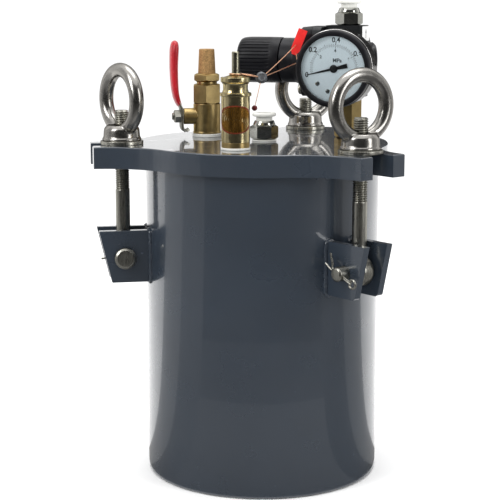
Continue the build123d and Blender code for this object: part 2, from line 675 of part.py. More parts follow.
with BuildPart() as gauge_case:
    turn_profile(gauge_axis, [
        (4.05, CASE_BACK), (21.0, CASE_BACK), (22.0, CASE_BACK + 1.0), (22.0, CASE_FRONT),
        (20.6, CASE_FRONT),
        (20.6, CASE_BACK + 1.4), (4.05, CASE_BACK + 1.4),
    ])
save(gauge_case, "gauge_case")

with BuildPart() as bourdon_tube:
    section = Plane(
        origin=gauge_axis.origin + gauge_axis.z_dir * 28.0, x_dir=gauge_axis.x_dir, z_dir=gauge_axis.y_dir
    )
    with BuildSketch(section) as tube:
        with Locations((14.0, 0)):
            Ellipse(0.9, 2.2)
    revolve(tube.sketch, axis=Axis(gauge_axis.origin, gauge_axis.z_dir), revolution_arc=265)
save(bourdon_tube, "bourdon_tube")

DIAL_FACE = 34.6
with BuildPart() as gauge_dial:
    turn_profile(gauge_axis, [
        (1.05, CASE_FRONT), (20.5, CASE_FRONT), (20.5, CASE_FRONT + 0.4), (DIAL_R, DIAL_FACE),
        (1.05, DIAL_FACE),
    ])
save(gauge_dial, "gauge_dial")

NEEDLE_LOW, NEEDLE_T = 35.0, 0.4
needle_angle = radians(NEEDLE_REST)
needle_way = gauge_axis.x_dir * cos(needle_angle) + gauge_axis.y_dir * sin(needle_angle)
needle_plane = Plane(origin=gauge_axis.origin, x_dir=needle_way, z_dir=gauge_axis.z_dir)
with BuildPart() as gauge_needle:
    with BuildSketch(needle_plane.offset(NEEDLE_LOW)) as pointer:
        with BuildLine():
            Polyline(
                (-8.0, -1.5), (-8.0, 1.5), (0, 1.1), (9.0, 0.75), (17.0, 0.2), (17.0, -0.2), (9.0, -0.75),
                (0, -1.1), close=True,
            )
        make_face()
        Circle(2.2)
    extrude(pointer.sketch, amount=NEEDLE_T)
    drill(gauge_axis, 1.5, NEEDLE_LOW, NEEDLE_LOW + 0.9, Mode.ADD)
    drill(gauge_axis, 1.0, 31.0, NEEDLE_LOW, Mode.ADD)
save(gauge_needle, "gauge_needle")

LENS_LOW, LENS_T = 36.2, 1.0
with BuildPart() as gauge_lens:
    drill(gauge_axis, 20.0, LENS_LOW, LENS_LOW + LENS_T, Mode.ADD)
save(gauge_lens, "gauge_lens")

with BuildPart() as gauge_bezel:
    turn_profile(gauge_axis, [
        (20.1, CASE_FRONT + 1.0), (20.6, CASE_FRONT + 0.4), (20.6, CASE_FRONT), (GAUGE_R, CASE_FRONT),
        (GAUGE_R, BEZEL_FRONT - 1.0), (GAUGE_R - 1.0, BEZEL_FRONT), (18.4, BEZEL_FRONT),
        (18.2, LENS_LOW + LENS_T),
        (20.1, LENS_LOW + LENS_T),
    ])
save(gauge_bezel, "gauge_bezel")

# ---- Seal wire from the relief valve's cap through a lead seal to the tag ----
WIRE_R = 0.35
WIRE_LOOP_R = 3.35
LOOP_Z = LID_TOP + 40.7
SEAL_AT = (-0.4, -36.0, 228.6)
SEAL_R, BEAD_R = 3.2, 1.6
BEAD_AT = (-4.2, -42.0, 212.6)
TAG_AT = (20.4, 6.0, 246.1)
TAG_LEAN = 21.0


def wire(*points):
    """Straight runs of the seal wire, rounded at their joins."""
    for start, end in zip(points, points[1:]):
        rod(start, end, WIRE_R)
    for point in points[1:-1]:
        with Locations(point):
            Sphere(WIRE_R)


with BuildPart() as seal_wire:
    with BuildSketch(Plane(origin=(*RELIEF_XY, LOOP_Z), x_dir=(1, 0, 0), z_dir=(0, -1, 0))) as strand:
        with Locations((WIRE_LOOP_R, 0)):
            Circle(WIRE_R)
    revolve(strand.sketch, axis=Axis((*RELIEF_XY, LOOP_Z), UP))
    wire((RELIEF_XY[0] + WIRE_LOOP_R, RELIEF_XY[1], LOOP_Z), (-6.6, -41.2, 229.9), SEAL_AT)
    wire(SEAL_AT, (19.0, 6.0, 244.5))
    wire(SEAL_AT, (20.0, 6.0, 234.6), (18.9, 6.0, 241.0))
    wire(SEAL_AT, BEAD_AT)
    with Locations(SEAL_AT):
        Sphere(SEAL_R, mode=Mode.SUBTRACT)
    with Locations(BEAD_AT):
        Sphere(BEAD_R, mode=Mode.SUBTRACT)
save(seal_wire, "seal_wire")

with BuildPart() as lead_seals:
    with Locations(SEAL_AT):
        Sphere(SEAL_R)
    with Locations(BEAD_AT):
        Sphere(BEAD_R)
save(lead_seals, "lead_seals")

lean = radians(TAG_LEAN)
with BuildPart() as seal_tag:
    tag_plane = Plane(origin=TAG_AT, x_dir=(cos(lean), 0, -sin(lean)), z_dir=(0, -1, 0))
    with BuildSketch(tag_plane.offset(-0.25)) as sheet:
        Rectangle(5.2, 15.0)
    extrude(sheet.sketch, amount=0.5)
    add(seal_wire.part, mode=Mode.SUBTRACT)
save(seal_tag, "seal_tag")
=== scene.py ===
"""Looks of the resin pressure pot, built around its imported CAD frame.

The frame is in metres, +Z up, with -Y as the front. Shapes here are given in millimetres in local
frames (Axis) whose places come from the record's joints and from the CAD nodes' boxes."""

import bpy
import bmesh
import json
from math import cos, hypot, pi, radians, sin, sqrt, tan
from mathutils import Matrix, Vector, noise


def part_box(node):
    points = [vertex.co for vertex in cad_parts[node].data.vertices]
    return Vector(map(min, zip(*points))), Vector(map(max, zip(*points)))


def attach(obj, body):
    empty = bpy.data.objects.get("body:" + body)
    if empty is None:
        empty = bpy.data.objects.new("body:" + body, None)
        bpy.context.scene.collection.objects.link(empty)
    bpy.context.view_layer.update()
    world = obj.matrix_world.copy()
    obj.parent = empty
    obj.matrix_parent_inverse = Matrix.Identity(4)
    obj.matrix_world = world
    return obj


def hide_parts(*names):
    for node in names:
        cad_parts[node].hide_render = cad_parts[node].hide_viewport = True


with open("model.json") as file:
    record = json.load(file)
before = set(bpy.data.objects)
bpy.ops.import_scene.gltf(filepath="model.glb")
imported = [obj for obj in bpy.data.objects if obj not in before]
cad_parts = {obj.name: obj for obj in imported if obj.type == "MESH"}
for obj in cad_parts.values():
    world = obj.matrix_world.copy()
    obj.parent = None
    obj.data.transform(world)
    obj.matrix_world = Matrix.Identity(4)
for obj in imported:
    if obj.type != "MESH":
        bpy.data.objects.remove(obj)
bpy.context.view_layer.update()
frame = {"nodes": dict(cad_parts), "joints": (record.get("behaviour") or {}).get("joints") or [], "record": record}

MM = 0.001
UP = Vector((0, 0, 1))
joints = {j["name"]: j for j in frame["joints"]}


# ================================================================ places
class Axis:
    """A local frame: origin in metres, and points in it in millimetres."""

    def __init__(self, origin, z=UP, x=(1, 0, 0)):
        self.origin = Vector(origin)
        self.z = Vector(z).normalized()
        self.y = self.z.cross(Vector(x)).normalized()
        self.x = self.y.cross(self.z)

    def at(self, x, y, z):
        return self.origin + (self.x * x + self.y * y + self.z * z) * MM

    def matrix(self):
        m = Matrix((self.x, self.y, self.z)).transposed().to_4x4()
        m.translation = self.origin
        return m


def low(node):
    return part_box(node)[0].z / MM


def high(node):
    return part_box(node)[1].z / MM


def standing(node):
    """The upright frame through a turned node's middle; heights in it are absolute."""
    a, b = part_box(node)
    return Axis(((a.x + b.x) / 2, (a.y + b.y) / 2, 0))


def pin_axis(name):
    """A clamping station's frame at its pin: x outwards, z up."""
    joint = joints[f"bolt_swing_{name}"]
    pin = Vector(joint["pos_m"])
    return Axis(pin, UP, (pin.x, pin.y, 0))


def way_of(joint):
    return Vector(joints[joint]["axis"])


STATIONS = ("back", "left", "right")
LID_TOP = high("lid_plate")
TANK_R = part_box("tank_shell")[1].x / MM
PIN_Z = joints["bolt_swing_left"]["pos_m"][2] / MM
relief = standing("relief_valve_body")
ball = standing("silencer_element")
outlet = standing("outlet_release_ring")
inlet = standing("inlet_release_ring")
knob = Axis(joints["screw_turn"]["pos_m"], -way_of("screw_turn"), UP)
gauge = Axis(joints["needle_sweep"]["pos_m"], -way_of("needle_sweep"), UP.cross(-way_of("needle_sweep")))
stem = Axis(joints["lever_turn"]["pos_m"], -way_of("lever_turn"), UP)


# ================================================================ mesh helpers
def shade(obj, sharp=32):
    obj.data.shade_smooth()
    obj.data.set_sharp_from_angle(angle=radians(sharp))
    return obj


def show(name, mesh):
    obj = bpy.data.objects.new(name, mesh)
    bpy.context.scene.collection.objects.link(obj)
    return obj


def make(name, verts, faces, sharp=32):
    """A mesh object from points in metres, with its faces turned outwards."""
    mesh = bpy.data.meshes.new(name)
    mesh.from_pydata([tuple(v) for v in verts], [], faces)
    bm = bmesh.new()
    bm.from_mesh(mesh)
    bmesh.ops.remove_doubles(bm, verts=bm.verts, dist=1e-7)
    bmesh.ops.recalc_face_normals(bm, faces=bm.faces)
    bm.to_mesh(mesh)
    bm.free()
    return shade(show(name, mesh), sharp)


def soften(outline, radius, steps=3, turned=False):
    """A closed outline with its corners rounded; a turned one keeps its points on the axis."""
    out = []
    for i, p in enumerate(outline):
        a, p, b = Vector(outline[i - 1]), Vector(p), Vector(outline[(i + 1) % len(outline)])
        to_a, to_b = a - p, b - p
        if (turned and p.x < 1e-6) or to_a.angle(to_b, pi) > radians(172):
            out.append(tuple(p))
            continue
        step = min(radius, to_a.length * 0.42, to_b.length * 0.42)
        start, end = p + to_a.normalized() * step, p + to_b.normalized() * step
        for k in range(steps + 1):
            t = k / steps
            out.append(tuple(start * (1 - t) ** 2 + p * 2 * t * (1 - t) + end * t * t))
    return out


def lathe(name, axis, outline, segments=96, round_mm=0.25, shape=None, sharp=32):
    """Turns a closed outline of (radius, height); shape(radius, angle, height) may change a radius."""
    points = soften(outline, round_mm, turned=True) if round_mm else outline
    verts, rows, faces = [], [], []
    for r, h in points:
        if r < 1e-6:
            rows.append([len(verts)] * segments)
            verts.append(axis.at(0, 0, h))
            continue
        rows.append(list(range(len(verts), len(verts) + segments)))
        for k in range(segments):
            t = 2 * pi * k / segments
            q = shape(r, t, h) if shape else r
            verts.append(axis.at(q * cos(t), q * sin(t), h))
    for a, b in zip(rows, rows[1:] + rows[:1]):
        for k in range(segments):
            j = (k + 1) % segments
            corners = dict.fromkeys((a[k], a[j], b[j], b[k]))
            if len(corners) > 2:
                faces.append(list(corners))
    return make(name, verts, faces, sharp)


def hexagon(name, axis, flats, start, end, bore, turned=0.9, ends=(True, True), angle=0.0):
    """A hexagon with a bore, its corners turned off at 30 degrees from `turned` of its half width out."""
    half, side = flats / 2, 10
    slope = tan(radians(30))
    verts, faces = [], []
    for level in range(6):
        for k in range(6 * side):
            t = 2 * pi * k / (6 * side)
            wall = half / cos((t + pi / 6) % (pi / 3) - pi / 6)
            inner = half * turned
            drop = (wall - inner) * slope
            r, z = (
                (bore, start),
                (inner if ends[0] else wall - 0.1, start),
                (wall, start + (drop if ends[0] else 0.1)),
                (wall, end - (drop if ends[1] else 0.1)),
                (inner if ends[1] else wall - 0.1, end),
                (bore, end),
            )[level]
            verts.append(axis.at(r * cos(t + angle), r * sin(t + angle), z))
    n = 6 * side
    for level in range(6):
        for k in range(n):
            j = (k + 1) % n
            a, b = level * n, (level + 1) % 6 * n
            faces.append([a + k, a + j, b + j, b + k])
    return make(name, verts, faces, 20)


def smooth_path(points, steps=8):
    """A Catmull-Rom line through points."""
    pts = [Vector(p) for p in points]
    out = []
    for i in range(len(pts) - 1):
        a, b, c, d = (pts[min(max(i + k, 0), len(pts) - 1)] for k in (-1, 0, 1, 2))
        for k in range(steps):
            t = k / steps
            curve = 2 * b + (c - a) * t + (2 * a - 5 * b + 4 * c - d) * t * t
            out.append((curve + (3 * b - a - 3 * c + d) * t**3) / 2)
    return out + [pts[-1]]


def sweep(name, path, section, closed=False, up=None, sharp=50, wobble=None):
    """Carries a closed section (a list of (x, y), or a function of the share of the way) along a path."""
    count = len(path)
    verts, faces, last = [], [], None
    for i, p in enumerate(path):
        a = path[(i - 1) % count] if closed or i else p
        b = path[(i + 1) % count] if closed or i < count - 1 else p
        way = (b - a).normalized()
        side = up.cross(way) if up else (last or way.orthogonal())
        side = (side - way * side.dot(way)).normalized()
        last = side
        other = way.cross(side)
        ring = section(i / (count - 1)) if callable(section) else section
        for x, y in ring:
            out = side * x + other * y
            v = p + out * MM
            if wobble:
                v += out.normalized() * wobble(v)
            verts.append(v)
    size = len(verts) // count
    for i in range(count if closed else count - 1):
        a, b = i * size, (i + 1) % count * size
        faces += [[a + k, a + (k + 1) % size, b + (k + 1) % size, b + k] for k in range(size)]
    if not closed:
        faces += [list(range(size)), list(range((count - 1) * size, count * size))]
    return make(name, verts, faces, sharp)


def round_section(radius, sides=12):
    return [(radius * cos(2 * pi * k / sides), radius * sin(2 * pi * k / sides)) for k in range(sides)]


def strip_section(width, thickness, corner):
    w, t = width / 2, thickness / 2
    return soften([(w, t), (-w, t), (-w, -t), (w, -t)], corner)


def join(name, *objects):
    """One object of several closed shells."""
    bm = bmesh.new()
    for o in objects:
        bm.from_mesh(o.data)
        bpy.data.objects.remove(o)
    mesh = bpy.data.meshes.new(name)
    bm.to_mesh(mesh)
    bm.free()
    return show(name, mesh)


def applied(obj):
    graph = bpy.context.evaluated_depsgraph_get()
    mesh = bpy.data.meshes.new_from_object(obj.evaluated_get(graph))
    obj.modifiers.clear()
    obj.data = mesh
    return obj


def fuse(obj, voxel, steps):
    """Melts overlapping shells into one skin with soft joints."""
    melt = obj.modifiers.new("melt", "REMESH")
    melt.mode, melt.voxel_size = "VOXEL", voxel * MM
    soft = obj.modifiers.new("soft", "SMOOTH")
    soft.factor, soft.iterations = 0.5, steps
    return shade(applied(obj), 60)


def cut(obj, cutter, sharp=35):
    m = obj.modifiers.new("cut", "BOOLEAN")
    m.operation, m.solver, m.object = "DIFFERENCE", "EXACT", cutter
    applied(obj)
    bpy.data.objects.remove(cutter)
    return shade(obj, sharp)


def slab(name, axis, outline, start, end, edge=0.0):
    """A flat outline of (x, y) given a thickness, with rounded edges."""
    n = len(outline)
    verts = [axis.at(x, y, start) for x, y in outline] + [axis.at(x, y, end) for x, y in outline]
    faces = [list(range(n)), list(range(n, 2 * n))]
    faces += [[k, (k + 1) % n, n + (k + 1) % n, n + k] for k in range(n)]
    obj = make(name, verts, faces)
    if edge:
        m = obj.modifiers.new("edge", "BEVEL")
        m.width, m.segments, m.limit_method, m.angle_limit = edge * MM, 2, "ANGLE", radians(40)
        applied(obj)
    return shade(obj)


def arc(x, y, r, start, end, steps=12):
    """Points (x, y) along an arc, with its angles in degrees."""
    turns = [radians(start + (end - start) * k / steps) for k in range(steps + 1)]
    return [(x + r * cos(t), y + r * sin(t)) for t in turns]


def copy_to(template, name, matrix):
    obj = show(name, template.data.copy())
    obj.data.transform(matrix)
    return obj


# ================================================================ materials
def material(
    name, colour, metallic=0.0, rough=0.4, tint=0.1, cloud=60, stretch=(1, 1, 1), rough_spread=0.08,
    bump=0.1, grain=600, coat=0.0, rings=0.0, specks=0.0, cells=0.0, ior=1.5, waves=0.0, rim=0.3,
):
    """A procedural finish. Scales are in features per metre; bumps are shares of a tenth of a millimetre."""
    m = bpy.data.materials.new(name)
    m.use_nodes = True
    nodes, link = m.node_tree.nodes, m.node_tree.links.new
    bsdf = nodes["Principled BSDF"]
    coords = nodes.new("ShaderNodeTexCoord").outputs["Object"]
    mapping = nodes.new("ShaderNodeMapping")
    mapping.inputs["Scale"].default_value = stretch
    link(coords, mapping.inputs["Vector"])

    def noise_of(scale, detail=4.0, vector=mapping.outputs["Vector"]):
        n = nodes.new("ShaderNodeTexNoise")
        n.inputs["Scale"].default_value = scale
        n.inputs["Detail"].default_value = detail
        link(vector, n.inputs["Vector"])
        return n.outputs["Fac"]

    def mapped(source, a, b, from_low=0.3, from_high=0.7):
        n = nodes.new("ShaderNodeMapRange")
        link(source, n.inputs["Value"])
        for key, value in zip(("From Min", "From Max", "To Min", "To Max"), (from_low, from_high, a, b)):
            n.inputs[key].default_value = value
        return n.outputs["Result"]

    def mix(factor, a, b):
        n = nodes.new("ShaderNodeMix")
        n.data_type = "RGBA"
        link(factor, n.inputs["Factor"])
        for key, value in (("A", a), ("B", b)):
            socket = [s for s in n.inputs if s.name == key and s.type == "RGBA"][0]
            if isinstance(value, tuple):
                socket.default_value = (*value, 1.0)
            else:
                link(value, socket)
        return [s for s in n.outputs if s.type == "RGBA"][0]

    normal = None

    def bumped(height, strength, distance=0.1):
        nonlocal normal
        n = nodes.new("ShaderNodeBump")
        n.inputs["Strength"].default_value = strength
        n.inputs["Distance"].default_value = distance * MM
        link(height, n.inputs["Height"])
        if normal:
            link(normal, n.inputs["Normal"])
        normal = n.outputs["Normal"]

    dark, light = (tuple(c * (1 + d) for c in colour) for d in (-tint, tint))
    shade_of = mix(mapped(noise_of(cloud), 0, 1), dark, light)
    roughness = mapped(noise_of(cloud * 2.3, 6), max(rough - rough_spread, 0.02), rough + rough_spread)
    if specks:
        v = nodes.new("ShaderNodeTexVoronoi")
        v.inputs["Scale"].default_value = 170
        link(coords, v.inputs["Vector"])
        spot = mapped(v.outputs["Distance"], 1, 0, 0.03, 0.13)
        patch = mapped(noise_of(25, 2, coords), 0, specks, 0.56, 0.7)
        both = nodes.new("ShaderNodeMath")
        both.operation = "MULTIPLY"
        link(spot, both.inputs[0])
        link(patch, both.inputs[1])
        shade_of = mix(both.outputs[0], shade_of, tuple(c * 3 for c in colour))
        bumped(both.outputs[0], 0.5, 0.3)
    # cells: the colour is darkened between the grains, a painted shade in the pores; the grains are also bumped up at
    # their middles
    if cells:
        v = nodes.new("ShaderNodeTexVoronoi")
        v.inputs["Scale"].default_value = grain
        link(coords, v.inputs["Vector"])
        pore_shade = mapped(v.outputs["Distance"], 0, cells, 0.2, 0.8)
        shade_of = mix(pore_shade, shade_of, tuple(c * 0.35 for c in colour))
        bumped(mapped(v.outputs["Distance"], 1, 0, 0, 1), 0.8, 0.15)
    if waves:
        bumped(noise_of(32, 2, coords), waves, 1.0)
    if rings:
        w = nodes.new("ShaderNodeTexWave")
        w.bands_direction = "Z"
        w.inputs["Scale"].default_value = 900
        w.inputs["Distortion"].default_value = 1.5
        link(coords, w.inputs["Vector"])
        bumped(w.outputs["Fac"], rings, 0.05)
    bumped(noise_of(grain, 3), bump)
    link(shade_of, bsdf.inputs["Base Color"])
    link(roughness, bsdf.inputs["Roughness"])
    link(normal, bsdf.inputs["Normal"])
    bsdf.inputs["Metallic"].default_value = metallic
    bsdf.inputs["IOR"].default_value = ior
    if metallic > 0.5:
        bsdf.inputs["Specular Tint"].default_value = (rim, rim, rim, 1)
    bsdf.inputs["Coat Weight"].default_value = coat
    bsdf.inputs["Coat Roughness"].default_value = 0.04
    if coat:
        link(normal, bsdf.inputs["Coat Normal"])
    return m


def clear(name, tint):
    """Clear glazing: see-through, with a sheen that grows towards its edges."""
    m = bpy.data.materials.new(name)
    m.use_nodes = True
    nodes, link = m.node_tree.nodes, m.node_tree.links.new
    nodes.remove(nodes["Principled BSDF"])
    through, gloss = nodes.new("ShaderNodeBsdfTransparent"), nodes.new("ShaderNodeBsdfGlossy")
    fresnel, mix = nodes.new("ShaderNodeFresnel"), nodes.new("ShaderNodeMixShader")
    haze = nodes.new("ShaderNodeTexNoise")
    haze.inputs["Scale"].default_value = 90
    spread = nodes.new("ShaderNodeMapRange")
    spread.inputs["To Min"].default_value, spread.inputs["To Max"].default_value = 0.02, 0.07
    link(haze.outputs["Fac"], spread.inputs["Value"])
    link(spread.outputs["Result"], gloss.inputs["Roughness"])
    through.inputs["Color"].default_value = (*tint, 1)
    fresnel.inputs["IOR"].default_value = 1.4
    link(fresnel.outputs[0], mix.inputs[0])
    link(through.outputs[0], mix.inputs[1])
    link(gloss.outputs[0], mix.inputs[2])
    link(mix.outputs[0], nodes["Material Output"].inputs["Surface"])
    return m


ALONG_Z = (3, 3, 0.12)   # noise drawn out along the height
FINISH = {
    "tank_paint": material(
        "tank_paint", (0.021, 0.029, 0.041), rough=0.3, tint=0.08, cloud=18, bump=0.03, grain=260,
        coat=1.0, specks=0.5, waves=0.05, ior=1.55, rough_spread=0.05,
    ),
    "stainless_steel": material(
        "stainless_steel", (0.45, 0.44, 0.39), 1.0, 0.3, tint=0.2, cloud=500, stretch=ALONG_Z, bump=0.25,
    ),
    "polished_steel": material(
        "polished_steel", (0.4, 0.385, 0.36), 1.0, 0.24, cloud=120, bump=0.12, grain=300, rough_spread=0.05,
    ),
    "nickel_plate": material("nickel_plate", (0.5, 0.5, 0.46), 1.0, 0.14, cloud=200, bump=0.08, rough_spread=0.05),
    "gauge_steel": material("gauge_steel", (0.62, 0.61, 0.6), 1.0, 0.16, cloud=200, bump=0.05, rough_spread=0.04),
    "brass": material("brass", (0.46, 0.34, 0.15), 1.0, 0.36, tint=0.12, cloud=260, bump=0.25, rings=0.12, rim=0.45),
    "polished_brass": material(
        "polished_brass", (0.66, 0.56, 0.32), 1.0, 0.2, tint=0.12, cloud=160, bump=0.08, rings=0.12,
    ),
    # its cells darken the colour between the sintered grains: painted shade in the pores
    "sintered_bronze": material(
        "sintered_bronze", (0.6, 0.37, 0.16), 0.6, 0.55, tint=0.25, cloud=400, cells=0.8, grain=2200, bump=0.5,
    ),
    "relief_rod_steel": material(
        "relief_rod_steel", (0.42, 0.4, 0.3), 1.0, 0.24, tint=0.15, cloud=500, stretch=ALONG_Z,
    ),
    "spring_steel": material("spring_steel", (0.4, 0.4, 0.41), 1.0, 0.3, cloud=400),
    "black_metal": material(
        "black_metal", (0.008, 0.009, 0.01), rough=0.38, ior=1.32, tint=0.3, cloud=90, bump=0.35, grain=1500,
    ),
    "black_plastic": material(
        "black_plastic", (0.008, 0.008, 0.01), rough=0.36, ior=1.28, tint=0.25, cloud=120, bump=0.15,
        grain=1800,
    ),
    "white_plastic": material("white_plastic", (0.72, 0.72, 0.68), rough=0.35, tint=0.05, cloud=200, bump=0.15),
    "red_vinyl": material(
        "red_vinyl", (0.36, 0.006, 0.014), rough=0.26, tint=0.3, cloud=160, stretch=(1, 1, 0.3), bump=0.3,
        grain=500, coat=0.1,
    ),
    "dial_enamel": material("dial_enamel", (0.82, 0.88, 0.9), rough=0.45, tint=0.03, cloud=150, bump=0.05),
    "needle_black": material("needle_black", (0.01, 0.01, 0.011), rough=0.4, tint=0.2, cloud=300),
    "lens_clear": clear("lens_clear", (0.97, 0.99, 1.0)),
    "black_rubber": material("black_rubber", (0.02, 0.02, 0.021), rough=0.6, tint=0.2, cloud=200, bump=0.4),
    "copper_wire": material("copper_wire", (0.8, 0.46, 0.3), 0.9, 0.3, tint=0.2, cloud=900),
    "lead": material("lead", (0.15, 0.155, 0.165), 0.7, 0.42, tint=0.3, cloud=700, bump=0.8, grain=1200),
    "red_tag": material("red_tag", (0.8, 0.014, 0.012), rough=0.35, tint=0.1, cloud=300, bump=0.15),
}
LABEL_FOIL = material(
    "label_foil", (0.24, 0.12, 0.025), 0.9, 0.22, tint=0.45, cloud=420, stretch=(1, 1, 0.3), bump=0.1,
)
LABEL_EDGE = material("label_edge", (0.16, 0.022, 0.006), 0.3, 0.3, tint=0.3, cloud=500, bump=0.1)
LABEL_WHITE = material("label_white", (0.8, 0.8, 0.79), rough=0.35, tint=0.04, cloud=300, bump=0.1)
INK = material("ink", (0.02, 0.022, 0.025), rough=0.5, tint=0.2, cloud=500, bump=0.05)
INK_PALE = material("ink_pale", (0.07, 0.085, 0.09), rough=0.5, tint=0.2, cloud=500, bump=0.05)
BEAD_RED = material("bead_red", (0.11, 0.01, 0.012), 0.4, 0.35, tint=0.3, cloud=900, bump=0.6)


def dress(obj, finish):
    obj.data.materials.clear()
    obj.data.materials.append(finish if isinstance(finish, bpy.types.Material) else FINISH[finish])
    return obj


def place(obj, body, slot, *nodes, finish=None):
    """Finishes a piece: its material (its slot's finish unless another is given), its body, and hides the CAD nodes
    that it stands for.
    """
    dress(obj, finish or slot)
    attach(obj, body)
    if nodes:
        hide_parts(*nodes)
    return obj


# ================================================================ camera, light and floor
CAMERA_AT = (0, -831.5, 276.8)
PITCH, YAW = 0.1779, -0.0084
data = bpy.data.cameras.new("camera")
data.lens, data.sensor_width = 105.3, 36
camera = bpy.data.objects.new("camera", data)
bpy.context.scene.collection.objects.link(camera)
camera.location = Vector(CAMERA_AT) * MM
camera.rotation_mode = "QUATERNION"
view_way = Vector((sin(YAW) * cos(PITCH), cos(YAW) * cos(PITCH), -sin(PITCH)))
camera.rotation_quaternion = view_way.to_track_quat("-Z", "Y")
bpy.context.scene.camera = camera
bpy.context.scene.view_settings.view_transform = "Standard"

world = bpy.data.worlds.new("studio")
world.use_nodes = True
world.node_tree.nodes["Background"].inputs["Color"].default_value = (1, 1, 1, 1)
world.node_tree.nodes["Background"].inputs["Strength"].default_value = 1.1
bpy.context.scene.world = world


def softbox(name, at, aim, width, height, power):
    light = bpy.data.lights.new(name, "AREA")
    light.shape, light.size, light.size_y, light.energy = "RECTANGLE", width, height, power
    obj = bpy.data.objects.new(name, light)
    bpy.context.scene.collection.objects.link(obj)
    obj.location = at
    obj.rotation_mode = "QUATERNION"
    obj.rotation_quaternion = (Vector(aim) - Vector(at)).to_track_quat("-Z", "Y")


softbox("key_left", (-1.0, -0.75, 0.95), (0, 0, 0.15), 0.5, 0.9, 9)
softbox("fill_right", (1.0, -0.7, 0.55), (0, 0, 0.15), 0.35, 0.8, 4)
softbox("top", (0.1, 0.2, 1.5), (0, 0, 0.1), 1.1, 0.8, 8)


def stage_mesh(name, verts, faces, colour):
    obj = make(name, verts, faces)
    dress(obj, material(name, colour, rough=0.9, tint=0.01, cloud=3, bump=0.0))
    return obj


FLOOR = 9.0
corners = [(x, y, -1e-4) for x, y in ((-FLOOR, -4), (FLOOR, -4), (FLOOR, 12), (-FLOOR, 12))]
stage_mesh("floor", corners, [[0, 1, 2, 3]], (0.96, 0.96, 0.96))

# dark cards, which only polished surfaces see: a curved one in front with a paler wing on each side,
# rings on the floor that darken with their distance, and one at the back on the right
ROOM_R, ROOM_TOP = 1.7, 1.9


def dark_card(name, grey, rim, start, end):
    """A band between two rims, each a radius and a height, round a part of the front; angles from it."""
    rows = [radians(-90 + start + (end - start) * k / 24) for k in range(25)]
    verts = [(r * cos(t), r * sin(t), z) for t in rows for r, z in rim]
    card = stage_mesh(name, verts, [[2 * k, 2 * k + 2, 2 * k + 3, 2 * k + 1] for k in range(24)], (grey,) * 3)
    card.visible_camera = card.visible_diffuse = card.visible_shadow = False


WALL = [(ROOM_R, 0.0), (ROOM_R, ROOM_TOP)]
dark_card("room_front", 0.02, WALL, -56, 56)
for side, inner, outer in ((-1, 0.2, 0.42), (1, 0.12, 0.34)):
    for grey, a, b in ((inner, 56, 82), (outer, 82, 108)):
        start, end = sorted((side * a, side * b))
        dark_card("wing", grey, WALL, start, end)
        dark_card("wing_floor", 0.75 * grey, [(0.068, 1e-3), (ROOM_R, 1e-3)], start, end)
for k, (near, far, grey) in enumerate(((0.068, 0.25, 0.2), (0.25, 0.42, 0.1), (0.42, ROOM_R, 0.02))):
    dark_card(f"dark_floor_{k}", grey, [(near, 1e-3), (far, 1e-3)], -56, 56)
dark_card("dark_back", 0.03, [(1.5, 0.2), (1.5, 1.0)], 140, 178)

# ================================================================ CAD nodes that keep their shape
EDGE = {
    "lid_plate": 0.7, "tank_shell": 0.4, "lug": 0.5, "washer": 0.25, "regulator_body": 0.7, "regulator_bonnet": 0.8,
    "ball_valve_body": 0.35, "relief_valve": 0.2, "release_ring": 0.35, "gauge_case": 0.4, "gauge_dial": 0.1,
    "regulator_valve_cap": 0.3, "sealing_washers": 0.3, "bonnet_screws": 0.3,
}
slots = {row["node"]: row["material_slot"] for row in frame["record"]["subparts"]}
for node, obj in frame["nodes"].items():
    dress(obj, slots[node])
    obj.data.shade_smooth()
    merge = obj.modifiers.new("merge", "WELD")
    merge.merge_threshold = 1e-6
    width = next((w for key, w in EDGE.items() if key in node), 0.12)
    edge = obj.modifiers.new("edge", "BEVEL")
    edge.width, edge.segments, edge.limit_method, edge.angle_limit = width * MM, 2, "ANGLE", radians(38)
    flat = obj.modifiers.new("flat", "WEIGHTED_NORMAL")
    flat.weight = 100

# ================================================================ clamping stations
BOLT_R, BOLT_PITCH = 4.0, 1.25
THREAD_LOW, THREAD_TOP = 164.0, high("swing_bolt_left")
EYE_R, EYE_HALF = 8.25, 4.25
PIN_BORE = 4.01


def thread(name, axis, radius, pitch, start, end, pore_shade=0.75):
    """A screw thread with a chamfered end."""
    rows = int((end - start) / pitch * 10)
    outline = [(0, start), (radius - pore_shade, start)]
    outline += [(radius, start + (end - start) * k / rows) for k in range(1, rows)]
    outline += [(radius - pore_shade, end), (0, end)]

    def crest(r, t, h):
        if r < radius:
            return r
        phase = (h / pitch - t / (2 * pi)) % 1
        ridge = min(1.0, abs(phase * 2 - 1) * 1.25)
        return min(radius - pore_shade * (1 - ridge), radius - pore_shade + (end - h) * 1.0, radius)

    return lathe(name, axis, outline, 40, 0, crest, 70)


def swing_bolt():
    """The bolt at a station's pin frame: thread, shank and forged eye."""
    base = Axis((0, 0, 0))
    shank = lathe("shank", base, [(0, 2), (4.6, 2), (4.3, 9), (BOLT_R, 14), (BOLT_R, 38), (0, 38)], 48, 0)
    eye = lathe(
        "eye", Axis((0, 0, 0), (0, 1, 0), UP),
        [(3.2, -EYE_HALF), (EYE_R, -EYE_HALF), (EYE_R, EYE_HALF), (3.2, EYE_HALF)], 64, 2.6,
    )
    neck = lathe("neck", base, [(0, 4), (5.4, 4), (4.6, 9), (4.0, 13), (0, 13)], 48, 0.4)
    forged = fuse(join("forged", shank, eye, neck), 0.36, 8)
    hole = [(0, -9), (PIN_BORE, -9), (PIN_BORE, 9), (0, 9)]
    bore = lathe("bore", Axis((0, 0, 0), (0, 1, 0), UP), hole, 64, 0)
    cut(forged, bore)
    screw = thread("screw", base, BOLT_R, BOLT_PITCH, THREAD_LOW - PIN_Z, THREAD_TOP - PIN_Z)
    return shade(join("bolt_template", forged, screw), 50)


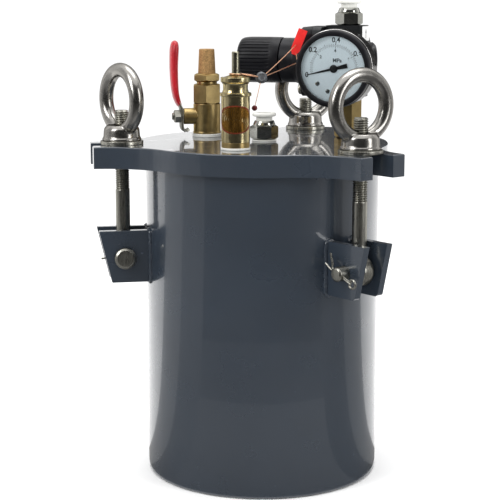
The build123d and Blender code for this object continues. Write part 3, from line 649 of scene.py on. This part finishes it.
NUT_LOW = low("eye_nut_left")
RING_RISE, RING_R, RING_BAR = 22.7, 16.5, 4.0
RING_DIRECTIONS = {"back": 25.0, "left": -54.0, "right": 33.0}


def eye_nut():
    """The eye nut on its bolt's axis, with its ring in the x-z plane; heights are absolute."""
    base = Axis((0, 0, 0))
    z = NUT_LOW
    foot = lathe("foot", base, [
        (0, z), (10.9, z), (11.0, z + 1.3), (10.3, z + 1.9), (10.1, z + 4.6), (9.9, z + 6.6), (8.4, z + 8.6),
        (0, z + 9.2),
    ], 96, 0.4)
    path = [base.at(RING_R * cos(t), 0, z + RING_RISE + RING_R * sin(t)) for t in
            (2 * pi * k / 120 for k in range(120))]
    ring = sweep("ring", path, round_section(RING_BAR, 40), closed=True, up=Vector((0, 1, 0)))
    nut = fuse(join("nut", foot, ring), 0.4, 5)
    bore = lathe("bore", base, [(0, z - 2), (4.06, z - 2), (4.06, z + RING_RISE), (0, z + RING_RISE)], 64, 0)
    return cut(nut, bore, 45)


bolt_template, nut_template = swing_bolt(), eye_nut()
SPLIT_PINS = {"back": (90.0, 9.0), "left": (-45.0, 15.6), "right": (159.0, 11.0)}
LEG_BENDS = {   # each leg beyond the pin: two points, across and along the split pin
    "back": ((2.4, 7.6), (5.0, 11.4), (-0.9, 6.6), (-1.2, 9.6)),
    "left": ((2.4, 7.6), (5.0, 11.4), (-0.9, 6.6), (-1.2, 9.6)),
    "right": ((0.2, 7.6), (-0.6, 11.1), (-3.0, 6.3), (-7.6, 9.7)),
}
LUG_OUTER = 10.5
PIN_TAIL = 7.0
SPLIT_AT = LUG_OUTER + 4.4
heads, splits, beads = [], [], []
for name in STATIONS:
    axis = pin_axis(name)
    bolt = copy_to(bolt_template, f"bolt_{name}", axis.matrix())
    place(bolt, f"swing_{name}", "stainless_steel", f"swing_bolt_{name}")
    centre = standing(f"washer_{name}").origin
    turn = Matrix.Translation(centre) @ Matrix.Rotation(radians(RING_DIRECTIONS[name]), 4, "Z")
    lifting_nut = copy_to(nut_template, f"lifting_nut_{name}", turn)
    place(lifting_nut, f"eye_nut_{name}", "polished_steel", f"eye_nut_{name}")

    # the clevis pin, with its head hammered a little; its tail is on the side of the split pin
    tail_way = -axis.y
    pin = Axis(axis.origin, tail_way, UP)
    head = -LUG_OUTER - 3.4
    heads.append(lathe("pin", pin, [
        (0, head), (1.2, head + 0.05), (2.4, head - 0.05), (3.6, head), (4.7, head), (6.0, head + 1.0),
        (6.0, -LUG_OUTER), (3.95, -LUG_OUTER), (3.95, LUG_OUTER + PIN_TAIL - 0.8),
        (3.1, LUG_OUTER + PIN_TAIL), (0, LUG_OUTER + PIN_TAIL),
    ], 64, 0.3))

    # the split pin: one wire, folded at its eye, with its two legs bent apart
    tilt, reach = SPLIT_PINS[name]
    legs = axis.x * cos(radians(tilt)) + axis.z * sin(radians(tilt))
    cross = Axis(pin.at(0, 0, SPLIT_AT), legs, legs.cross(-pin.z))
    side = [(0.5, 0, 4.2), (0.5, 0, 2.0 - reach)]
    loop = [(x, 0, y) for x, y in arc(0, -reach, 2.3, 60, -240, 14)]
    back = [(-0.5, 0, 2.0 - reach), (-0.5, 0, 4.2)]
    near_a, far_a, near_b, far_b = [(x, 0, z) for x, z in LEG_BENDS[name]]
    points = [far_a, near_a, *side, *loop, *back, near_b, far_b]
    path = smooth_path([cross.at(*p) for p in points], 4)
    splits.append(sweep("split", path, round_section(0.62, 12)))

    # weld beads round the roots of both plates
    for face in (-1, 1):
        near, far = face * 6.2, face * 10.8
        corners = [
            (near, 114.0), (near, 141.0), (face * 8.5, 142.6), (far, 141.0), (far, 114.0), (face * 8.5, 112.6),
        ]
        ring = []
        for i, (y, z) in enumerate(corners):
            y2, z2 = corners[(i + 1) % 6]
            steps = max(2, round(hypot(y2 - y, z2 - z) / 0.5))
            ring += [(y + (y2 - y) * k / steps, z + (z2 - z) * k / steps) for k in range(steps)]
        outward = Vector((axis.x.x, axis.x.y, 0))
        across = UP.cross(outward)
        path = [(outward * sqrt(TANK_R**2 - y * y) + across * y + UP * z) * MM for y, z in ring]

        def lumps(v):
            ripple = noise.noise(v / MM * 0.55 + Vector((3.1, 7.7, 1.3)))
            return MM * (0.42 * ripple + 0.3 * noise.noise(v / MM * 1.3))

        beads.append(sweep("bead", path, round_section(1.35, 12), closed=True, wobble=lumps, sharp=70))
pins = join("pins", *heads)
place(shade(pins, 40), "pot", "stainless_steel", "clevis_pins")
place(shade(join("cotters", *splits), 60), "pot", "stainless_steel", "split_pins")
place(shade(join("weld_beads", *beads), 70), "pot", "tank_paint")
bpy.data.objects.remove(bolt_template)
bpy.data.objects.remove(nut_template)

# ================================================================ ball valve and silencer
BODY_TOP = high("ball_valve_body")
UNION_TOP = high("ball_valve_union")
ELEMENT_LOW, ELEMENT_TOP = low("silencer_element"), high("silencer_element")
union = hexagon("union_hex", ball, 15.2, BODY_TOP, UNION_TOP - 1.3, 3.2, 0.93, (True, True))
neck = lathe("union_neck", ball, [
    (3.2, UNION_TOP - 1.4), (6.0, UNION_TOP - 1.4), (5.9, UNION_TOP), (3.2, UNION_TOP),
], round_mm=0.2)
place(shade(join("valve_union", union, neck), 22), "pot", "brass", "ball_valve_union")
nut = hexagon("silencer_hex", ball, 14.4, UNION_TOP, ELEMENT_LOW, 3.4, 0.84)
place(nut, "pot", "brass", "silencer_fitting")


def grains(r, t, h):
    if r < 3.9:
        return r
    return r + 0.07 * noise.noise(Vector((r * cos(t), r * sin(t), h)) * 2.6)


rows = 34
rise = ELEMENT_TOP - 0.5 - ELEMENT_LOW
side = [(5.15 - 0.65 * k / rows, ELEMENT_LOW + rise * k / rows) for k in range(rows + 1)]
element = lathe("bronze_element", ball, [
    (3.4, ELEMENT_LOW), *side, (4.2, ELEMENT_TOP), (2.6, ELEMENT_TOP), (2.2, ELEMENT_TOP - 0.3), (0, ELEMENT_TOP - 0.3),
    (0, ELEMENT_TOP - 1.8), (2.6, ELEMENT_TOP - 1.8),
], 90, 0, grains, 50)
place(element, "pot", "sintered_bronze", "silencer_element")

# the lever: x is outwards along the stem, y is up
lever = Axis((stem.origin.x, stem.origin.y, 0), stem.z, UP)
LEVER = [
    (10.9, 194.9), (12.2, 194.0), (13.6, 194.0), (14.6, 194.9), (15.1, 196.6), (15.2, 200.0), (15.2, 204.0),
    (15.5, 207.0), (17.0, 210.2), (18.2, 212.8), (18.8, 217.0), (19.2, 222.0), (19.6, 235.0), (19.8, 243.5),
]
path = smooth_path([lever.at(z, 0, x) for x, z in LEVER], 4)


def lever_section(share):
    """A flat strip that broadens over the first quarter of the lever."""
    return strip_section(5.0 + 3.2 * min(1.0, share * 4), 1.5, 0.35)


plate = sweep("lever_steel", path, lever_section, up=stem.z)
place(plate, "valve_lever", "stainless_steel", "lever_plate")


def grip_section(share):
    """An oval that swells from the bottom of the dipped grip to its rounded top."""
    rise = min(1.0, (share + 0.02) ** 0.55)
    top = sqrt(max(0.0, 1 - max(0.0, (share - 0.86) / 0.142) ** 2))
    thick = (1.1 + 1.7 * rise) * top
    wide = (3.7 + 1.8 * rise) * top
    return [(wide * cos(t), thick * sin(t)) for t in (2 * pi * k / 28 for k in range(28))]


GRIP = [(16.3, 208.6), (17.4, 211.0), (18.5, 215.0), (19.2, 221.0), (19.5, 230.0), (19.3, 238.0), (18.8, 246.3)]
path = smooth_path([lever.at(z, 0, x) for x, z in GRIP], 8)
grip = sweep("red_grip", path, grip_section, up=stem.z, sharp=80)
place(grip, "valve_lever", "red_vinyl", "lever_grip")
nut = hexagon("lever_hex", stem, 7.0, 16.0, 19.6, 1.9, 0.88, (False, True))
tip = thread("stem_tip", stem, 2.0, 0.7, 15.0, 20.6, 0.35)
place(shade(join("stem_nut", nut, tip), 30), "valve_lever", "stainless_steel", "lever_nut")

# ================================================================ relief valve's label
LABEL_MID, LABEL_HIGH, LABEL_WIDE = 207.0, 7.6, 88.0


def oval(name, outer, inner, lift):
    """A thin oval patch, or an oval ring, wrapped round the front of the relief valve."""
    verts, faces, n = [], [], 72
    for r in (7.72, 7.75 + lift):
        for scale in (outer, inner):
            for k in range(n):
                t = 2 * pi * k / n
                a = radians(-90 + LABEL_WIDE * (scale if scale == outer else scale * 0.985) * cos(t))
                verts.append(relief.at(r * cos(a), r * sin(a), LABEL_MID + LABEL_HIGH * scale * sin(t)))
    for a, b in ((0, 1), (1, 3), (3, 2), (2, 0)):
        faces += [[a * n + k, a * n + (k + 1) % n, b * n + (k + 1) % n, b * n + k] for k in range(n)]
    return make(name, verts, faces, 60)


rows = [oval("band", 0.12 * k + 0.03, 0.12 * (k - 1) + 0.03, 0.03) for k in range(8, 0, -1)]
place(shade(join("relief_label", *rows), 80), "pot", "polished_brass", finish=LABEL_FOIL)
place(oval("relief_label_edge", 1.0, 0.91, 0.07), "pot", "polished_brass", finish=LABEL_EDGE)


# ================================================================ push-in fittings and riser
PORT_LOW = low("regulator_body")
PORT_HEIGHT = 41.0
WASHER_STEP = 0.8


def fitting(name, axis, node, ring_node, angle, start):
    """A push-in fitting: its hexagon from a height, and the crown round its release ring."""
    dome = low(ring_node) + 2.6
    top = dome - 2.7
    base = hexagon("base", axis, 14.0, start, top + 0.4, 4.75, 0.86, (True, True), radians(angle))
    crown = lathe("crown", axis, [
        (4.75, top - 2.0), (6.3, top - 2.0), (6.35, top + 0.5), (6.1, top + 1.3), (5.5, dome), (4.75, dome),
    ], round_mm=0.3)
    return place(shade(join(name, base, crown), 24), "pot", "nickel_plate", node)


fitting("outlet_body", outlet, "outlet_fitting", "outlet_release_ring", 30, LID_TOP + WASHER_STEP)
fitting("inlet_body", inlet, "inlet_fitting", "inlet_release_ring", 36, PORT_LOW + PORT_HEIGHT)
riser = hexagon("riser_hex", inlet, 14.0, LID_TOP, min(PORT_LOW, 214.1), 3.5, 0.92, (True, True), radians(13))
place(riser, "pot", "brass", "riser_nipple")

# ================================================================ regulator knob and flow label
KNOB_START, KNOB_END, RIBS = 39.4, 65.0, 38


def ribs(r, t, h):
    if r < 12.0:
        return r
    inside = min(1.0, max(0.0, (h - 44.6) / 0.8)) * min(1.0, max(0.0, (64.2 - h) / 1.6))
    valley = max(0.0, cos(RIBS * t)) ** 6
    return r - 0.55 * inside * valley


rows = [(13.4 - 0.25 * max(0, (h - 59) / 3), h) for h in (43.8, 44.4, 44.8, 45.6, 48, 51, 54, 57, 59.5, 61.5)]
shape = lathe("knob", knob, [
    (11.3, KNOB_START), (13.1, KNOB_START), (13.3, 40.0), *rows, (12.95, 62.8), (12.4, 64.0), (11.3, 64.8), (9.6, KNOB_END),
    (6.0, KNOB_END - 0.15), (0, KNOB_END - 0.2), (0, 60.0), (4.05, 60.0), (4.05, 49.5), (11.3, 49.5),
], RIBS * 12, 0, ribs, 40)
place(shape, "regulator_knob", "black_plastic", "regulator_knob")

# the label on the port block's end, with an arrow along the flow
label_end = Axis(knob.at(0, 0, -10.0), -knob.z, UP.cross(-knob.z))
sticker = soften([(-8.6, 11.6), (8.6, 11.6), (8.6, 20.0), (-8.6, 20.0)], 0.5)
plate = slab("flow_label", label_end, sticker, -0.02, 0.12)
place(plate, "pot", "black_metal", finish=LABEL_WHITE)
arrow = slab("flow_arrow", label_end, [
    (-0.5, 13.2), (0.5, 13.2), (0.5, 16.2), (1.4, 16.2), (0, 18.6), (-1.4, 16.2), (-0.5, 16.2),
], 0.12, 0.17)
place(arrow, "pot", "black_metal", finish=INK)

# ================================================================ gauge
BEZEL_FRONT, CASE_FRONT = 38.2, 33.6
DIAL_FACE = 34.6
NEEDLE_REST, DEGREES_PER_TENTH = 193.0, 26.8
bezel = lathe("gauge_ring", gauge, [
    (20.1, CASE_FRONT + 1.0), (20.6, CASE_FRONT + 0.4), (20.6, CASE_FRONT), (21.5, CASE_FRONT), (21.5, 36.6),
    (21.2, 37.6), (20.4, BEZEL_FRONT), (19.0, BEZEL_FRONT), (18.4, 37.7), (18.2, 37.2), (20.1, 37.2),
], 128, 0.2)
place(bezel, "pot", "black_plastic", "gauge_bezel")

marks, pale = [], []


def dash(length, radius, angle, width, into):
    way = Axis(gauge.origin, gauge.z, gauge.x * cos(radians(angle)) + gauge.y * sin(radians(angle)))
    half = width / 2
    outline = [(radius, -half), (radius + length, -half), (radius + length, half), (radius, half)]
    into.append(slab("dash", way, outline, DIAL_FACE - 0.02, DIAL_FACE + 0.04))


def figure(text, radius, angle, size, into, offset=(0, 0)):
    """A number on the dial, as a thin mesh."""
    curve = bpy.data.curves.new("figure", "FONT")
    curve.body, curve.size, curve.extrude = text, size * MM, 0.03 * MM
    curve.align_x, curve.align_y = "CENTER", "CENTER"
    curve.offset = 0.09 * MM
    holder = bpy.data.objects.new("figure", curve)
    bpy.context.scene.collection.objects.link(holder)
    graph = bpy.context.evaluated_depsgraph_get()
    mesh = bpy.data.meshes.new_from_object(holder.evaluated_get(graph))
    bpy.data.objects.remove(holder)
    t = radians(angle)
    x, y = radius * cos(t) + offset[0], radius * sin(t) + offset[1]
    spot = Axis(gauge.at(x, y, DIAL_FACE + 0.02), gauge.z, gauge.x)
    mesh.transform(spot.matrix())
    into.append(show("figure", mesh))


for k in range(41):
    angle = NEEDLE_REST - DEGREES_PER_TENTH * k / 5
    whole, half = k % 10 == 0, k % 5 == 0
    dash(1.5 if whole else 1.1 if half else 0.65, 13.2, angle, 0.34 if whole else 0.16, marks)
    dash(1.2 if whole else 0.5, 12.5 - (1.2 if whole else 0.5), angle, 0.22 if whole else 0.12, pale)
for radius in (13.15, 12.6):
    path = [gauge.at(radius * cos(radians(a)), radius * sin(radians(a)), DIAL_FACE) for a in
            (NEEDLE_REST - 214.4 * k / 90 for k in range(91))]
    (marks if radius > 13 else pale).append(
        sweep("scale", path, [(0.04, 0.07), (-0.04, 0.07), (-0.04, -0.07), (0.04, -0.07)], up=gauge.z)
    )
for k, text in enumerate(("0", "0.2", "0.4", "0.6", "0.8")):
    angle = NEEDLE_REST - 2 * DEGREES_PER_TENTH * k
    figure(text, 16.0, angle, 3.9, marks)
    if k:
        figure(str(2 * k), 10.0, angle, 2.3, pale)
figure("MPa", 0, 0, 3.0, pale, (1.9, 4.6))
place(join("dial_print", *marks), "pot", "dial_enamel", finish=INK)
place(join("dial_print_inner", *pale), "pot", "dial_enamel", finish=INK_PALE)

screws = []
for x, y in ((-9.3, -8.4), (-3.4, -12.6)):
    spot = Axis(gauge.at(x, y, 0), gauge.z, gauge.x + gauge.y * 0.5)
    head = lathe("dial_screw", spot, [
        (0, DIAL_FACE - 0.1), (1.35, DIAL_FACE - 0.1), (1.2, DIAL_FACE + 0.5), (0, DIAL_FACE + 0.62),
    ], 32, 0.15)
    slot = slab("slot", spot, [(-1.6, -0.2), (1.6, -0.2), (1.6, 0.2), (-1.6, 0.2)], DIAL_FACE + 0.3, DIAL_FACE + 1.0)
    screws.append(cut(head, slot))
place(shade(join("dial_screws", *screws)), "pot", "gauge_steel")

t = radians(NEEDLE_REST)
pointer = Axis(gauge.origin, gauge.z, gauge.x * cos(t) + gauge.y * sin(t))
hand = slab("hand", pointer, soften([
    (-8.0, -1.35), (-8.0, 1.35), (-2.0, 0.85), (0, 0.75), (16.6, 0.14), (16.6, -0.14), (0, -0.75), (-2.0, -0.85),
], 0.3), 35.0, 35.4, 0.08)
hub = lathe("hub", pointer, [
    (0, 33.7), (0.95, 33.7), (0.95, 35.0), (2.3, 35.0), (2.2, 35.6), (1.4, 35.9), (0, 35.95),
], 48, 0.15)
place(shade(join("needle", hand, hub)), "gauge_needle", "needle_black", "gauge_needle")

# ================================================================ seal wire, lead seal and tag
CAP_POST, LOOP_Z = 3.35, LID_TOP + 40.7
SEAL_AT = Vector((-0.4, -36.0, 228.6))
BEAD_AT = Vector((-4.2, -42.0, 212.6))
WIRE_R = 0.3


def strand(points, bow=0.0, radius=WIRE_R):
    """A wire through points in millimetres, bowed a little out of its line."""
    pts = [Vector(p) for p in points]
    bent = []
    for a, b in zip(pts, pts[1:]):
        for k in range(4):
            s = k / 4
            bent.append(a.lerp(b, s) + Vector((0, 0, -bow * 4 * s * (1 - s))))
    bent.append(pts[-1])
    return sweep("strand", smooth_path([p * MM for p in bent], 5), round_section(radius, 10))


centre = relief.origin / MM
loop = [Vector((centre.x + CAP_POST * cos(t), centre.y + CAP_POST * sin(t), LOOP_Z + 0.15 * sin(2 * t))) * MM
        for t in (2 * pi * k / 40 for k in range(40))]
wires = [
    sweep("loop", loop, round_section(WIRE_R, 10), closed=True),
    strand([(centre.x + CAP_POST, centre.y, LOOP_Z), (-6.6, -41.2, 229.9), SEAL_AT]),
    strand([(centre.x + CAP_POST - 0.4, centre.y + 1.0, LOOP_Z), (-6.2, -40.6, 230.3), SEAL_AT]),
    strand([SEAL_AT, (19.0, 6.0, 244.5)], 0.5),
    strand([SEAL_AT, (20.0, 6.0, 234.6), (18.9, 6.0, 241.0)], 0.2),
    strand([SEAL_AT, BEAD_AT], 0.0, 0.2),
]
place(shade(join("copper_seal_wire", *wires), 60), "pot", "copper_wire", "seal_wire")


def lump(r, t, h):
    return r * (1 + 0.07 * noise.noise(Vector((cos(t), sin(t), h * 0.4)) * 1.9))


seal = Axis(SEAL_AT * MM, (0.15, -1.0, 0.2), UP)
disc = lathe("lead_disc", seal, [
    (0, -1.7), (1.6, -1.8), (2.6, -1.4), (3.15, -0.6), (3.15, 0.6), (2.6, 1.4), (2.0, 1.7), (1.5, 1.35), (0, 1.3),
], 48, 0.4, lump)
place(disc, "pot", "lead", "lead_seals")
bead = lathe("seal_bead", Axis(BEAD_AT * MM, (0.2, -1, 0.1), UP), [
    (0, -1.3), (0.9, -1.2), (1.5, -0.5), (1.5, 0.5), (0.9, 1.2), (0, 1.3),
], 32, 0.4, lump)
place(bead, "pot", "lead", finish=BEAD_RED)

lean = radians(21.0)
tag = Axis(Vector((20.4, 6.0, 246.1)) * MM, (0, -1, 0), (cos(lean), 0, -sin(lean)))
n, verts, faces = 15, [], []
for level in (-0.22, 0.22):
    for k in range(n + 1):
        y = -7.5 + 15.0 * k / n
        half = 2.6 * min(1.0, 0.45 + (y + 7.5) / 5.0)
        curl = 0.55 * (k / n) ** 2 + 0.1 * sin(k)
        verts += [tag.at(-half, y, level + curl), tag.at(half, y, level + curl * 0.6)]
m = 2 * (n + 1)
for k in range(n):
    a = 2 * k
    faces += [[a, a + 1, a + 3, a + 2], [m + a, m + a + 1, m + a + 3, m + a + 2]]
    faces += [[a, a + 2, m + a + 2, m + a], [a + 1, a + 3, m + a + 3, m + a + 1]]
faces += [[0, 1, m + 1, m], [2 * n, 2 * n + 1, m + 2 * n + 1, m + 2 * n]]
place(make("paper_tag", verts, faces), "pot", "red_tag", "seal_tag")
